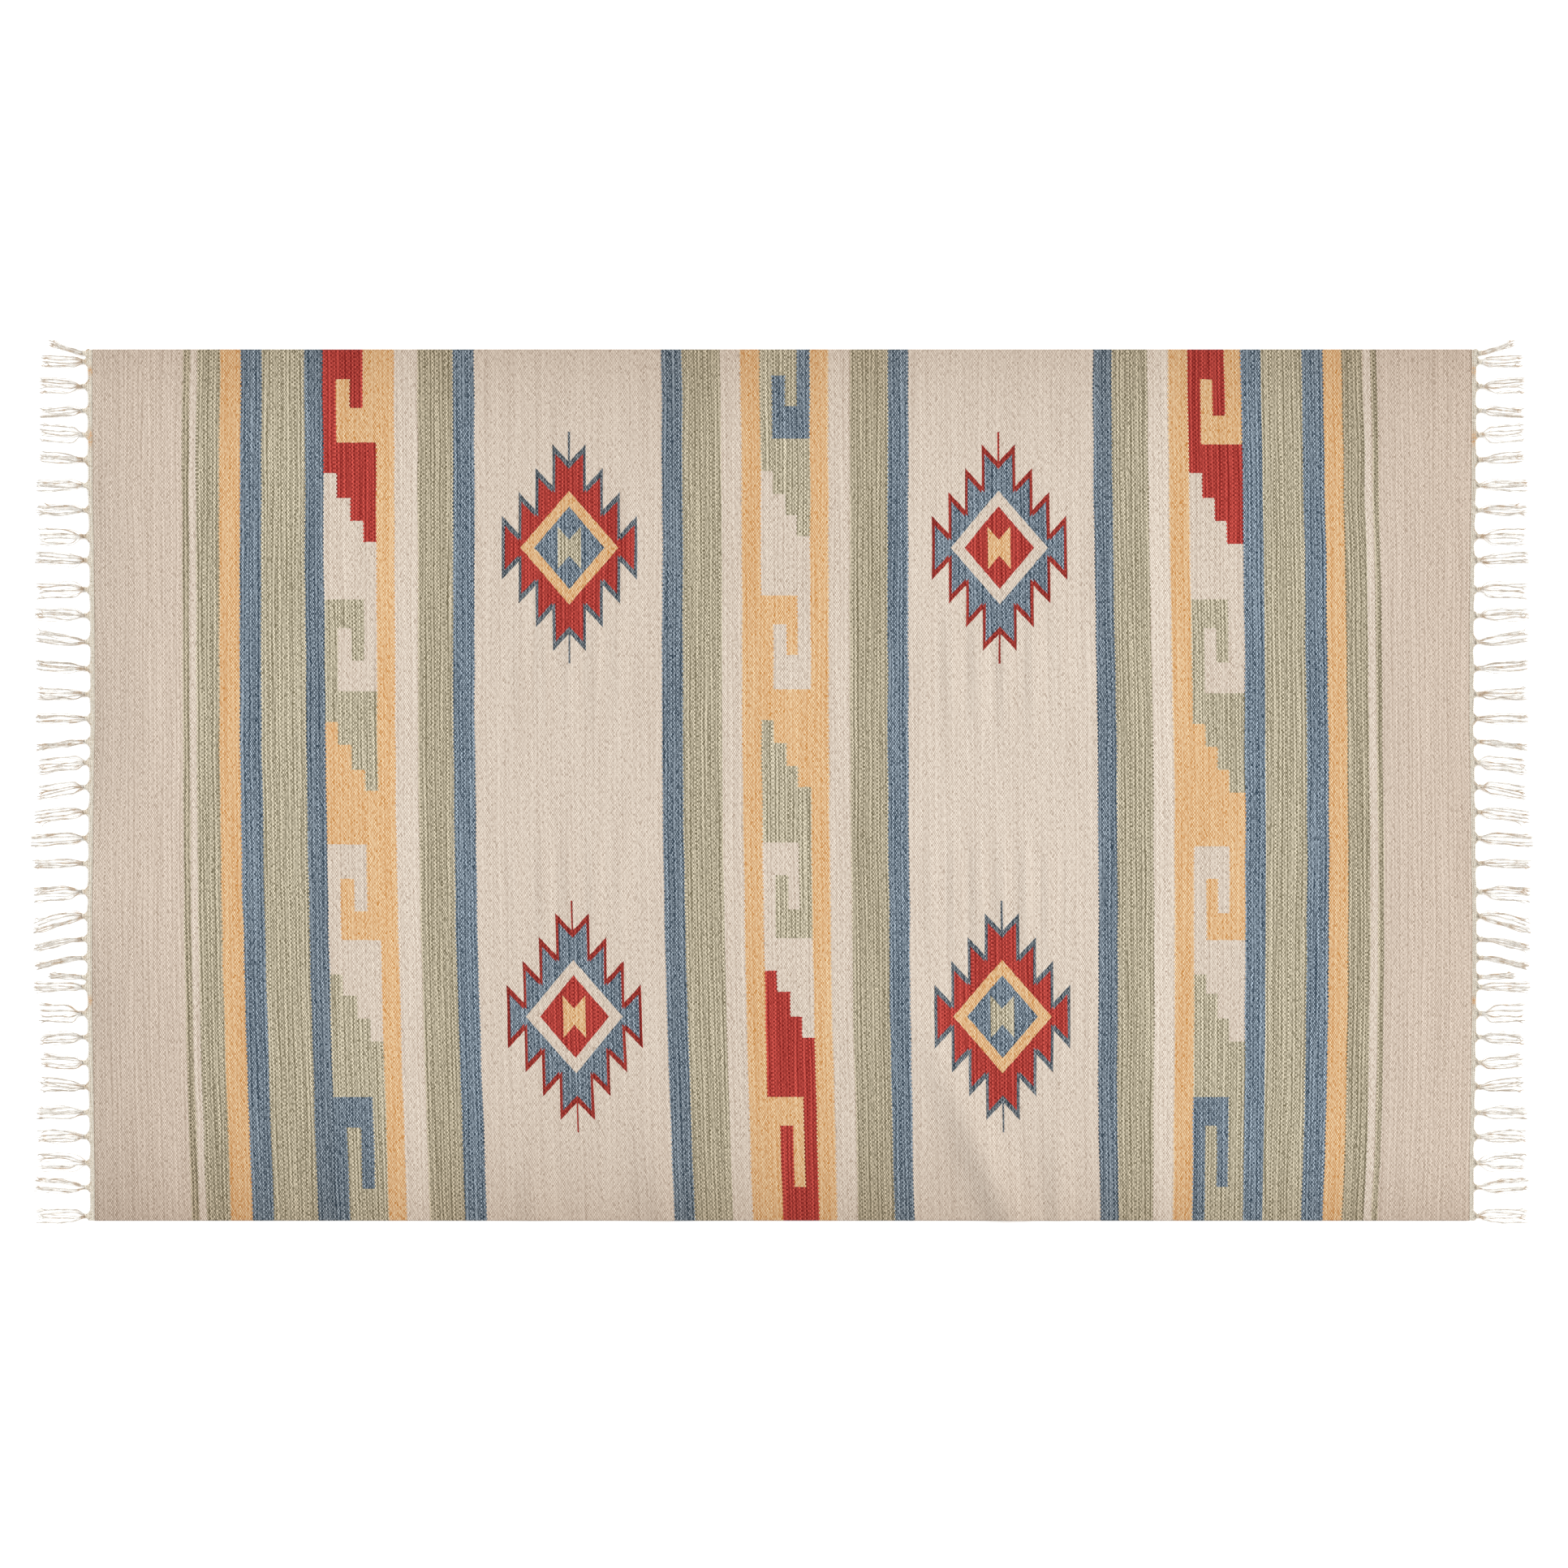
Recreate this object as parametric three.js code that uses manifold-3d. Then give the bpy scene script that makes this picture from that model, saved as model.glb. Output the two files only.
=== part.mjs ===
// Kilim rug lying flat, with a twined end band and knotted tassels at both ends.
// Millimetres. +X runs along the warp, +Y across the rug from selvedge to selvedge, +Z up.
// The origin is under the middle of the whole rug, fringes included.
import * as THREE from 'three';
import { mergeVertices } from 'three/addons/utils/BufferGeometryUtils.js';
import Module from 'manifold-3d';

const wasm = await Module();
wasm.setup();

// Cloth
const rugWidth = 1400; // selvedge to selvedge
const clothLength = 2210; // woven cloth between the two end bands
const clothThickness = 4;
const cornerWear = 2.5; // how far a corner is rounded off
const endStations = 28; // points along each end of the cloth

// End band: the strip of twined warp ends that carries the tassels
const pieceGap = 0.3; // between the cloth's end and the band
const bandWidth = 5.5; // midway between two tassels
const bandThickness = 3.4;
const bandPeak = 4.5; // how far each tassel draws the band out
const bandPeakHalf = 2; // half the width of the drawn-out tip
const bandPeakReach = 5; // how fast it dies away to each side
const bandPeakOffsets = [-10, -bandPeakHalf, bandPeakHalf, 10];
const bandLeastStep = 0.5; // points of the band's outer edge are no closer than this

// Tassel: a knot and the strands below it
const knotOut = 13; // from the cloth's end to the middle of a knot
const knotHalfLength = 4.6;
const knotHalfWidth = 3.6;
const knotHalfHeight = 2.7;
const knotSides = 6;
const knotRings = 3;
const strandsPerTassel = 4;
const strandWidth = 2.1;
const strandHeight = 2;
const strandGap = 1.2; // least clear way between two strands of a tassel
const strandRootPitch = 1.5; // from strand to strand inside the knot
const strandKink = 1.8; // sideways swing of a whole tassel
const swingTurn = 2.4; // radians from one tassel's swing to the next one's
const strandShort = 1.75; // steps by which the strands of a tassel differ in length
const shortOrder = 3; // which step each strand takes, going round the four of them
const leanCurve = 1.3; // how late a leaning tassel turns aside

// Each end wanders: how far it lies out from its mean line, at a place across the rug.
const endWander = table(['y', 'out'], [
  [700, 1.6],
  [600, 1.6],
  [480, 1.0],
  [373, -1.0],
  [230, -2.2],
  [100, -2.5],
  [22, -1.0],
  [-95, 0.4],
  [-199, 2.2],
  [-355, 2.0],
  [-433, 0.5],
  [-512, -0.8],
  [-629, -2.3],
  [-700, -2.3],
]);

// Tassels from one selvedge to the other. knotY is the knot's place across the rug, tipX the
// reach of the tips from the middle of the rug, lean how far the tips lie beside the knot, and
// spread how wide the tips fan out.
const tassels = table(['knotY', 'tipX', 'lean', 'spread'], [
  [693, 1177, 17, 8],
  [679, 1189, 0, 16],
  [640, 1193, 1, 25],
  [601, 1191, -4, 17],
  [562, 1191, 4, 23],
  [522, 1191, 6, 16],
  [481, 1197, -2, 18],
  [441, 1196, 1, 18],
  [399, 1195, 1, 25],
  [361, 1199, 5, 21],
  [314, 1197, -2, 23],
  [272, 1199, 4, 19],
  [230, 1198, 9, 17],
  [187, 1197, 5, 14],
  [146, 1195, 1, 16],
  [107, 1199, -1, 13],
  [70, 1197, -10, 10],
  [36, 1196, -8, 20],
  [-3, 1195, -12, 20],
  [-43, 1200, -10, 19],
  [-85, 1206, -5, 16],
  [-126, 1203, -1, 12],
  [-171, 1202, -4, 22],
  [-210, 1202, -18, 18],
  [-247, 1202, -14, 9],
  [-277, 1199, -14, 8],
  [-308, 1177, 2, 8],
  [-324, 1201, 0, 15],
  [-366, 1193, 1, 25],
  [-404, 1191, -4, 17],
  [-445, 1191, 4, 23],
  [-484, 1191, 6, 16],
  [-525, 1197, -2, 18],
  [-564, 1196, 1, 18],
  [-606, 1195, 1, 25],
  [-645, 1199, 5, 21],
  [-691, 1197, -2, 21],
]);

// One object per row, its values under the columns' names.
function table(columns, rows) {
  return rows.map((row) => Object.fromEntries(columns.map((name, i) => [name, row[i]])));
}

// How far an end of the cloth lies out at y: eased from one row of endWander to the next.
function wanderAt(y) {
  const last = endWander.length - 1;
  const after = endWander.findIndex((row) => row.y < y);
  const i = after < 0 ? last : Math.max(after, 1);
  const high = endWander[i - 1];
  const low = endWander[i];
  const share = THREE.MathUtils.smoothstep(high.y - y, 0, high.y - low.y);
  return THREE.MathUtils.lerp(high.out, low.out, share);
}

function clothEndAt(y) {
  return clothLength / 2 + wanderAt(y);
}

// Places across the rug from +Y to -Y, with one more on each side where the corner is worn.
function endPlaces() {
  const half = rugWidth / 2;
  const places = [half];
  for (let i = 0; i <= endStations; i += 1) {
    places.push((half - cornerWear) * (1 - (2 * i) / endStations));
  }
  places.push(-half);
  return places;
}

// The cloth's +X end as points from +Y to -Y, the corners drawn back.
function clothEndPoints() {
  const half = rugWidth / 2;
  return endPlaces().map((y) => {
    const back = Math.abs(y) === half ? cornerWear : 0;
    return new THREE.Vector2(clothEndAt(y) - back, y);
  });
}

function clothGeometry() {
  const right = clothEndPoints();
  const left = right.map((point) => new THREE.Vector2(-point.x, point.y)).reverse();
  const outline = new THREE.Shape([...right, ...left]);
  return new THREE.ExtrudeGeometry(outline, { depth: clothThickness, bevelEnabled: false });
}

// The band's outer edge: drawn out to a peak at every tassel.
function bandOuterAt(y) {
  const beside = tassels.map((row) => Math.abs(y - row.knotY) - bandPeakHalf);
  const nearest = Math.max(0, Math.min(...beside));
  return clothEndAt(y) + bandWidth + bandPeak * Math.exp(-nearest / bandPeakReach);
}

function bandGeometry() {
  const half = rugWidth / 2;
  const inner = endPlaces().map((y) => new THREE.Vector2(clothEndAt(y) + pieceGap, y));
  const places = [half, -half];
  tassels.forEach((row) => {
    bandPeakOffsets.forEach((offset) => places.push(row.knotY + offset));
  });
  const inside = places.filter((y) => Math.abs(y) <= half).sort((a, b) => a - b);
  const outer = inside
    .filter((y, i) => i === 0 || y - inside[i - 1] > bandLeastStep)
    .map((y) => new THREE.Vector2(bandOuterAt(y), y));
  const outline = new THREE.Shape([...inner, ...outer]);
  return new THREE.ExtrudeGeometry(outline, { depth: bandThickness, bevelEnabled: false });
}

function knotX(row) {
  return clothEndAt(row.knotY) + knotOut;
}

// A lump with its poles along X, standing on the floor on one of its flat sides.
function knotGeometry(row) {
  const lump = new THREE.SphereGeometry(1, knotSides, knotRings);
  lump.rotateZ(Math.PI / 2);
  lump.scale(knotHalfLength, knotHalfWidth, knotHalfHeight);
  lump.computeBoundingBox();
  lump.translate(knotX(row), row.knotY, -lump.boundingBox.min.z);
  return lump;
}

// Stations along a strand: how far along, how far open the fan is, how thick it is there, its
// share of the tassel's sideways swing, and how high it runs. At the root the strands stand at
// their own pitch inside the knot, and from the second station on they lie on the floor.
const strandStations = table(['along', 'open', 'thick', 'swing', 'lift'], [
  [0, 0, 0.5, 0, 1.6],
  [0.3, 0.95, 1, 1, 0],
  [0.65, 1.05, 1, -0.6, 0],
  [1, 1, 0.6, 0.4, 0],
]);

// A strand is a three-sided bar that lies on one of its sides, level on the floor.
function strandGeometry(row, tasselIndex, strandIndex) {
  const leastFan = (strandsPerTassel - 1) * (strandWidth + strandGap);
  const fan = Math.max(row.spread - strandWidth, leastFan);
  const rootFan = (strandsPerTassel - 1) * strandRootPitch;
  const place = strandIndex / (strandsPerTassel - 1) - 0.5;
  const start = knotX(row);
  const short = strandShort * ((tasselIndex + strandIndex * shortOrder) % strandsPerTassel);
  const length = row.tipX - short - start;
  const swing = strandKink * Math.sin(tasselIndex * swingTurn);
  const positions = [];
  strandStations.forEach(({ along, open, thick, swing: share, lift }) => {
    const x = start + length * along;
    const beside = place * (open ? fan * open : rootFan) + swing * share;
    const y = row.knotY + row.lean * along ** leanCurve + beside;
    const half = (strandWidth * thick) / 2;
    positions.push(x, y - half, lift, x, y + half, lift, x, y, lift + strandHeight * thick);
  });
  const index = [0, 2, 1];
  for (let s = 0; s < strandStations.length - 1; s += 1) {
    for (let side = 0; side < 3; side += 1) {
      const a = s * 3 + side;
      const b = s * 3 + ((side + 1) % 3);
      index.push(a, b, b + 3, a, b + 3, a + 3);
    }
  }
  const end = (strandStations.length - 1) * 3;
  index.push(end, end + 1, end + 2);
  const strand = new THREE.BufferGeometry();
  strand.setAttribute('position', new THREE.Float32BufferAttribute(positions, 3));
  strand.setIndex(index);
  return strand;
}

function toSolid(geometry) {
  const bare = geometry.clone();
  bare.deleteAttribute('normal');
  bare.deleteAttribute('uv');
  const merged = mergeVertices(bare, 1e-4);
  return new wasm.Manifold(new wasm.Mesh({
    numProp: 3,
    vertProperties: new Float32Array(merged.attributes.position.array),
    triVerts: new Uint32Array(merged.index.array),
  }));
}

function toGeometry(solid) {
  const mesh = solid.getMesh();
  const geometry = new THREE.BufferGeometry();
  geometry.setAttribute('position', new THREE.BufferAttribute(mesh.vertProperties, 3));
  geometry.setIndex(new THREE.BufferAttribute(mesh.triVerts, 1));
  return geometry;
}

// The band, its knots and their strands, joined into one solid at the +X end.
function fringeGeometry() {
  const pieces = [bandGeometry()];
  tassels.forEach((row, tasselIndex) => {
    pieces.push(knotGeometry(row));
    for (let strandIndex = 0; strandIndex < strandsPerTassel; strandIndex += 1) {
      pieces.push(strandGeometry(row, tasselIndex, strandIndex));
    }
  });
  return toGeometry(pieces.map(toSolid).reduce((whole, piece) => whole.add(piece)));
}

// The same shape reflected in X, with its faces turned to point out again.
function mirrored(geometry) {
  const copy = geometry.clone().scale(-1, 1, 1);
  const index = copy.index.array;
  for (let i = 0; i < index.length; i += 3) {
    [index[i + 1], index[i + 2]] = [index[i + 2], index[i + 1]];
  }
  return copy;
}

function addMesh(parent, name, geometry, material) {
  geometry.computeVertexNormals();
  const mesh = new THREE.Mesh(geometry, material);
  mesh.name = name;
  parent.add(mesh);
}

const woven = new THREE.MeshStandardMaterial({ color: 0xd8cbbb, roughness: 0.95, metalness: 0 });
const yarn = new THREE.MeshStandardMaterial({ color: 0xe9e1d3, roughness: 0.9, metalness: 0 });

const rug = new THREE.Group();
const fringe = fringeGeometry();
addMesh(rug, 'cloth', clothGeometry(), woven);
addMesh(rug, 'fringe_right', fringe, yarn);
addMesh(rug, 'fringe_left', mirrored(fringe), yarn);

// The corner tassels reach unequally past the two selvedges, so the whole is centred last.
const box = new THREE.Box3().setFromObject(rug);
const middle = box.getCenter(new THREE.Vector3());
rug.position.set(-middle.x, -middle.y, -box.min.z);

export default rug;
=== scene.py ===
import math
from functools import partialmethod

import bpy
import numpy as np
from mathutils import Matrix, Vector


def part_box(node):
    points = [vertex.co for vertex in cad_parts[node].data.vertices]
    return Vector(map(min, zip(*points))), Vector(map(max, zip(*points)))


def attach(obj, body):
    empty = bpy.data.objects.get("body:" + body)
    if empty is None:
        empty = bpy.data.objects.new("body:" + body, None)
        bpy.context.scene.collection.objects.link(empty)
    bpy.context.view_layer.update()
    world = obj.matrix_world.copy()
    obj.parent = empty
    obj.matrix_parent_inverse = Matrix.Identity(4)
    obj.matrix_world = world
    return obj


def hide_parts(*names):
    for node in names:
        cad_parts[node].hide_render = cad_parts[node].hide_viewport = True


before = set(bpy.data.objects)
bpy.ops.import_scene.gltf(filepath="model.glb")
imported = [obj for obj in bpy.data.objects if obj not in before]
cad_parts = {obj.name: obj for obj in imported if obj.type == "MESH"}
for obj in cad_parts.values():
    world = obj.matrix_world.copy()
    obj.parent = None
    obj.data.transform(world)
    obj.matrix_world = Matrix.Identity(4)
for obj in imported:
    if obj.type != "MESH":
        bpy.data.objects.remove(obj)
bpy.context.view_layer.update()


mm = 0.001
clothLow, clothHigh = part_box("cloth")
middleY = (clothLow.y + clothHigh.y) / 2  # the cloth's middle line, which everything is charted from

# Shared ways of making meshes and materials.


def addObject(name, data):
    thing = bpy.data.objects.new(name, data)
    bpy.context.scene.collection.objects.link(thing)
    return thing


def makePiece(name, vertices, faceGroups):
    # vertices: rows of x, y, z. faceGroups: arrays with a row of corners for each face.
    mesh = bpy.data.meshes.new(name)
    faces = [face for group in faceGroups for face in group.tolist()]
    mesh.from_pydata(vertices, [], faces, shade_flat=False)
    piece = addObject(name, mesh)
    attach(piece, "root")
    return piece


def addVectors(piece, name, domain, rows):
    layer = piece.data.attributes.new(name, "FLOAT_VECTOR", domain)
    layer.data.foreach_set("vector", np.asarray(rows, dtype=np.float32).ravel())


def addMap(piece, name, places):
    layer = piece.data.uv_layers.new(name=name)
    layer.uv.foreach_set("vector", np.asarray(places, dtype=np.float32).ravel())


def feed(node, values):
    # Links wires to a node's inputs, and sets numbers and colours on them.
    for place, value in values.items():
        if isinstance(value, Wire):
            value.tree.links.new(value.socket, node.inputs[place])
        else:
            node.inputs[place].default_value = value


def addNode(tree, kind, values, output=0, **settings):
    node = tree.nodes.new("ShaderNode" + kind)
    for name, value in settings.items():
        setattr(node, name, value)
    feed(node, values)
    return Wire(tree, node.outputs[output])


class Wire:  # a value in a material's node tree: arithmetic on it adds Math nodes
    def __init__(self, tree, socket):
        self.tree = tree
        self.socket = socket

    def math(self, operation, *others):
        return addNode(self.tree, "Math", dict(enumerate((self, *others))), operation=operation)

    __add__ = __radd__ = partialmethod(math, "ADD")
    __sub__ = partialmethod(math, "SUBTRACT")
    __mul__ = __rmul__ = partialmethod(math, "MULTIPLY")
    __truediv__ = partialmethod(math, "DIVIDE")
    __gt__ = partialmethod(math, "GREATER_THAN")
    __lt__ = partialmethod(math, "LESS_THAN")
    __abs__ = partialmethod(math, "ABSOLUTE")

    def __rsub__(self, other):
        return (self * -1.0) + other

    def within(self, low, high):
        return self.math("MAXIMUM", low).math("MINIMUM", high)

    def towards(self, other, share):  # this value where share is 0, the other where it is 1
        return addNode(self.tree, "Mix", {"Factor": share, "A": self, "B": other}, "Result")

    def split(self):
        parts = self.tree.nodes.new("ShaderNodeSeparateXYZ")
        feed(parts, {0: self})
        return [Wire(self.tree, part) for part in parts.outputs]


def newMaterial(name, look):
    material = bpy.data.materials.new(name)
    material.use_nodes = True
    shader = material.node_tree.nodes["Principled BSDF"]
    feed(shader, {
        "Roughness": look["roughness"],
        "Specular IOR Level": look["specular"],
        "Sheen Weight": look["sheen"],
        "Sheen Roughness": look["sheenSpread"],
    })
    return material, material.node_tree, shader


def attribute(tree, name):
    return addNode(tree, "Attribute", {}, "Vector", attribute_name=name).split()


def place2d(across, along):
    return addNode(across.tree, "CombineXYZ", {0: across, 1: along})


def noise(place, scale=1.0, detail=0.0):
    values = {"Vector": place, "Scale": scale, "Detail": detail}
    return addNode(place.tree, "TexNoise", values, "Fac", noise_dimensions="2D")


def chance(across, along):
    values = {"Vector": place2d(across, along)}
    return addNode(across.tree, "TexWhiteNoise", values, "Value", noise_dimensions="2D")


rampSteps = 8


def ramp(value, colours):
    # One constant step to each colour; a number of the same step's own rides in alpha.
    node = value.tree.nodes.new("ShaderNodeValToRGB")
    node.color_ramp.interpolation = "CONSTANT"
    points = node.color_ramp.elements
    while len(points) < len(colours):
        points.new(0.5)
    for number, (point, colour) in enumerate(zip(points, colours)):
        point.position = number / rampSteps
        point.color = colour
    feed(node, {0: value})
    return Wire(value.tree, node.outputs["Color"]), Wire(value.tree, node.outputs["Alpha"])


def blendColours(first, second, share, how="MIX"):
    # The colours of a Mix node are its sockets 6 and 7, and its output 2.
    values = {0: share, 6: first, 7: second}
    settings = {"data_type": "RGBA", "clamp_factor": False, "blend_type": how}
    return addNode(share.tree, "Mix", values, 2, **settings)


def bump(shader, height, look):
    values = {"Height": height, "Distance": look["bumpHeight"], "Strength": look["bumpStrength"]}
    feed(shader, {"Normal": addNode(height.tree, "Bump", values)})


# Camera, floor and light.

studio = {
    "cameraHeight": 8.004,
    "cameraX": 3.1 * mm,
    "cameraY": -4.2 * mm,
    "lens": 114.5,
    "sensor": 36.0,
    "sight": 100.0,
    "floorHalf": 14.0,
    "floorDrop": 0.3 * mm,
    "floorColour": (0.93, 0.93, 0.925, 1),
    "floorRoughness": 0.9,
    "floorGlow": 0.35,
    "white": (1, 1, 1, 1),
    "skyStrength": 0.65,
    "sunStrength": 1.4,
    "sunSpread": 14,  # degrees
    "sunTilt": (38, 0, 120),  # degrees
}


def makeStudio(s):
    scene = bpy.context.scene
    scene.view_settings.view_transform = "Standard"
    scene.cycles.use_denoising = False  # it would smooth the weave's grain away
    lens = bpy.data.cameras.new("camera")
    lens.lens = s["lens"]
    lens.sensor_width = s["sensor"]
    lens.clip_end = s["sight"]
    camera = addObject("camera", lens)
    camera.location = (s["cameraX"], s["cameraY"], s["cameraHeight"])
    scene.camera = camera

    sun = bpy.data.lights.new("softbox", "SUN")
    sun.energy = s["sunStrength"]
    sun.angle = math.radians(s["sunSpread"])
    addObject("softbox", sun).rotation_euler = [math.radians(a) for a in s["sunTilt"]]

    world = bpy.data.worlds.new("studio")
    world.use_nodes = True
    feed(world.node_tree.nodes["Background"], {"Color": s["white"], "Strength": s["skyStrength"]})
    scene.world = world

    half = s["floorHalf"]
    corners = [(-half, -half), (half, -half), (half, half), (-half, half)]
    mesh = bpy.data.meshes.new("floor")
    mesh.from_pydata([(x, y, -s["floorDrop"]) for x, y in corners], [], [(0, 1, 2, 3)])
    paper = bpy.data.materials.new("paper")
    paper.use_nodes = True
    feed(paper.node_tree.nodes["Principled BSDF"], {
        "Base Color": s["floorColour"],
        "Roughness": s["floorRoughness"],
        "Specular IOR Level": 0.0,
        "Emission Color": s["white"],
        "Emission Strength": s["floorGlow"],
    })
    mesh.materials.append(paper)
    addObject("floor", mesh)


makeStudio(studio)
print("studio ready")

# The chart of the rug, in millimetres. u runs along the warp from the rug's middle to +X, and
# v across it from the cloth's middle line to +Y.

# How far each end of the cloth lies out at v, the same at both ends.
endWander = np.array([
    (700, 1.6), (600, 1.6), (480, 1.0), (373, -1.0), (230, -2.2), (100, -2.5), (22, -1.0),
    (-95, 0.4), (-199, 2.2), (-355, 2.0), (-433, 0.5), (-512, -0.8), (-629, -2.3), (-700, -2.3),
])

# The weft was beaten unevenly: how far a line at u is pushed along +X, at five places across.
driftRows = [700, 347, 0, -342, -700]
drift = {
    -954: (2, 0, 2, 6, 17.5),
    -876: (1.3, 0, 1.3, 8.5, 20.5),
    -733: (-2.6, 0, 3.5, 10.4, 22),
    -577: (-1.3, 0, 1.3, 8, 20),
    -173: (-2, 0, 1, 7, 20.5),
    -82: (-4, 0, 1.3, 7, 18),
    -4: (-2, 0, 2, 6.5, 16),
    100: (0, 0, 1.3, 6, 14.5),
    191: (0, 0, 0.6, 3.3, 10.5),
    503: (-2, 0, 5.2, 6, 8.5),
    620: (-4.6, 0, 5.9, 7.2, 4.6),
    738: (-6, 0, 2.6, 2.6, -1.3),
    855: (-5.2, 0, 4, 2.6, -6),
    946: (-7.5, 0, 5.2, 5.9, -5.2),
}

dyes = ["sand", "field", "pale", "green", "orange", "blue", "red"]
dyeNumber = {name: number for number, name in enumerate(dyes)}

# Where each stripe starts, its dye, and how light its wool is for that dye. A hook band takes its
# four columns' starts from its own chart.
stripes = [
    (-1105, "sand", 1.0), (-962.1, "green", 0.8), (-951.7, "pale", 1.0), (-940.0, "green", 0.92),
    (-903.5, "orange", 0.97), (-869.7, "blue", 1.0), (-835.2, "green", 0.98), (-765.6, "blue", 0.95),
    (-651.0, "orange", 1.02), (-621.1, "pale", 1.04), (-584.6, "green", 0.9), (-527.4, "blue", 1.03),
    (-493.5, "field", 0.95), (-192.9, "blue", 0.93), (-159.0, "green", 0.92), (-96.6, "pale", 0.99),
    (-64.0, "orange", 0.97), (45.3, "orange", 0.99), (73.9, "pale", 1.01), (107.8, "green", 0.89),
    (168.9, "blue", 1.0), (202.8, "field", 0.99), (502.1, "blue", 0.95), (532.1, "green", 0.94),
    (589.3, "pale", 1.09), (623.1, "orange", 1.0), (740.3, "blue", 1.08), (772.8, "green", 0.97),
    (837.9, "blue", 1.04), (873.0, "orange", 0.98), (903.0, "green", 0.87), (938.1, "pale", 1.03),
    (949.8, "green", 0.85), (960.2, "sand", 0.99),
]

# A hook band has four units from the top selvedge down. Each row gives its figure, ground and the
# colour below it, then how far below the selvedge its figure, hole, prong end and block start,
# and the four steps of the block's foot, one to a column. The last unit runs off the rug.
hookBands = [
    {
        "columns": (-734.3, -713.5, -692.7, -671.8),
        "units": [
            ("red", "orange", "pale", 0, 49, 96, 150, 200, 238, 275, 311),
            ("green", "pale", "orange", 403, 447, 501, 551, 599, 636, 674, 708),
            ("pale", "orange", "green", 795, 849, 903, 949, 1003, 1037, 1075, 1112),
            ("blue", "green", "", 1201, 1251, 1348),
        ],
    },
    {
        "columns": (-34.1, -13.9, 6.9, 24.5),
        "units": [
            ("green", "blue", "pale", 0, 44, 92, 144, 195, 232, 266, 302),
            ("orange", "pale", "green", 397, 442, 491, 547, 597, 631, 668, 703),
            ("pale", "green", "red", 793, 845, 899, 946, 997, 1032, 1070, 1105),
            ("orange", "red", "", 1199, 1248, 1345),
        ],
    },
    {
        "columns": (654.4, 675.2, 694.8, 714.3),
        "units": [
            ("red", "orange", "pale", 0, 50, 106, 152, 201, 239, 276, 312),
            ("green", "pale", "orange", 402, 448, 502, 553, 601, 638, 675, 711),
            ("pale", "orange", "green", 797, 850, 905, 949, 1004, 1035, 1074, 1110),
            ("blue", "green", "", 1199, 1246, 1344),
        ],
    },
]

# The four medallions stand reach away from their common middle, along the rug and across it. Each
# is a stepped star of four teeth to a side with an outline, and in it a ring, a centre and an
# hourglass.
medallion = {
    "middle": (3.6, 4.6),
    "reach": (344.9, 376.1),
    "teeth": 4,
    "toothWidth": 27.1,
    "notchTop": 137.2,
    "toothDrop": 38.2,
    "toothSlope": 1.07,
    "outline": 4.6,  # along the sides of the teeth
    "outlineTop": 5.9,  # how much more of it lies on their sloping tops
    "ring": (78.2, 91.0),
    "centre": (56.0, 66.4),
    "hourglass": (18.5, 12.8, 1.15),  # half width, half height at the waist, flare
    "thread": (1.6, 137.0, 186.0),  # half width, from, to
}

# The dyes of outline, body, ring, centre and hourglass: those of the upper left and lower right
# medallions, then those of the other two.
medallionDyes = [("blue", "red", "orange", "blue", "green"), ("red", "blue", "pale", "red", "orange")]

# The cloth.

cloth = {
    "length": 2210.0,
    "width": 1400.0,
    "warps": 456,
    "pick": 1.38,
    "top": 3.95,  # of a rib's back over the floor
    "ribDepth": 0.42,
    "underStep": 16,  # half warps between the points of the flat underside
    "fieldCells": 26,  # to each plain field, so that its creases are smooth
    "selvedgeIn": 1.1,
    "selvedgeRound": 0.8,
    "selvedgeEase": 0.5,
    # Round a selvedge: share of the top's height, and share of selvedgeRound inwards.
    "bends": ((0.75, 0.25), (0.5, 0.0), (0.25, 0.25)),
    "endEase": 1.3,
    "endShrink": 0.55,
    "unevenness": 0.18,
    # Low waves of the upper side: length along and across the rug, and phase.
    "waves": ((93, 61, 0.0), (47, -129, 1.7)),
    "flat": (1.400, 2.210),
}
halfLength = cloth["length"] / 2
halfWidth = cloth["width"] / 2
warp = cloth["width"] / cloth["warps"]

# Soft ridges in the cloth: u and v of the start and the end, half width and height at the end.
creases = [
    (162, -235, 360, -700, 33, 7.5),
    (438, -500, 436, -700, 19, 3.5),
    (-424, -560, -416, -700, 24, 2.5),
    (-240, -470, -205, -700, 36, 4.0),
]

# Where the loom's tension puckers the fields beside a medallion, on the side of the rug's middle:
# u of the field's middle and of one ridge, the spacing, v where the ridges start, where they are
# full and where they have faded, and height.
puckerReach = 130.0
puckers = [
    (345.0, 314.0, 44.0, 370, 200, 20, 1.4),
    (345.0, 350.0, 37.0, -370, -160, -40, 1.5),
    (-342.0, -300.0, 40.0, 370, 200, 20, 0.8),
    (-342.0, -345.0, 42.0, -370, -160, -20, 0.8),
]

# Where the cloth is lighter or darker than the rest: u, v, reach along and across, how much.
patches = [
    (-1050, 650, 120, 150, 0.09),
    (-1040, 100, 120, 400, 0.03),
    (-1040, -500, 120, 250, -0.04),
    (1100, 150, 60, 600, -0.05),
    (900, -630, 320, 160, 0.08),
    # painted shade on the dark flank of the first crease's ridge
    (262, -600, 42, 90, -0.045),
    (-770, 620, 60, 220, 0.06),
    (-770, -450, 80, 300, -0.04),
]

print("chart read")


def ease(share):
    # From 0 to 1 with no corner at either end: share * share * (3 - 2 share).
    share = np.clip(share, 0, 1)
    return share * share * (3 - 2 * share)


def intervalAt(places, at):
    # Which place comes after each value, and how far the value is on the way there.
    after = np.clip(np.searchsorted(places, at, side="right"), 1, len(places) - 1)
    return after, (at - places[after - 1]) / (places[after] - places[after - 1])


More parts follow.
